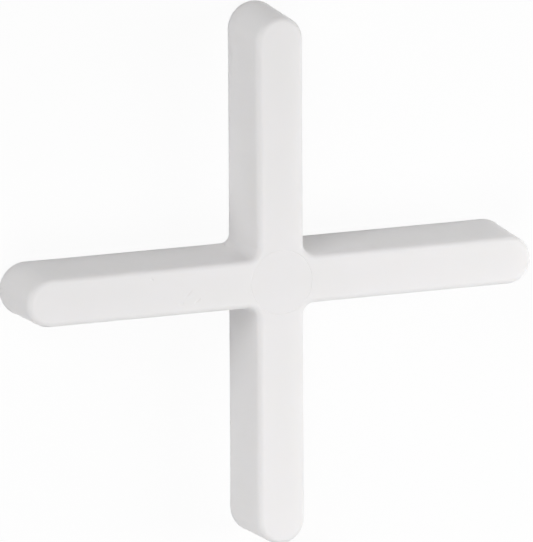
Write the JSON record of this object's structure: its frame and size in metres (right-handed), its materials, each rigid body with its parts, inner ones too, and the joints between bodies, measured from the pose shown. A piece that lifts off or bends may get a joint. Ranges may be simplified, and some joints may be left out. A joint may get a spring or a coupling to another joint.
{
  "type": "tile spacer",
  "caption": "Cross-shaped tile spacer of white plastic, with round-ended arms that set an even joint where the corners of tiles meet.",
  "frame": {"origin": "middle of the cross, on the flat back face that it lies on", "axes": "+X and +Y along two neighbouring arms, +Z through the thickness to the front face, which has rounded edges and the ejector mark"},
  "size_m": [0.03, 0.03, 0.0042],
  "materials": {
    "white_plastic": "smooth moulded polypropylene, satin, slightly milky"
  },
  "bodies": {
    "root": {"cross_spacer": "white_plastic"}
  },
  "joints": []
}
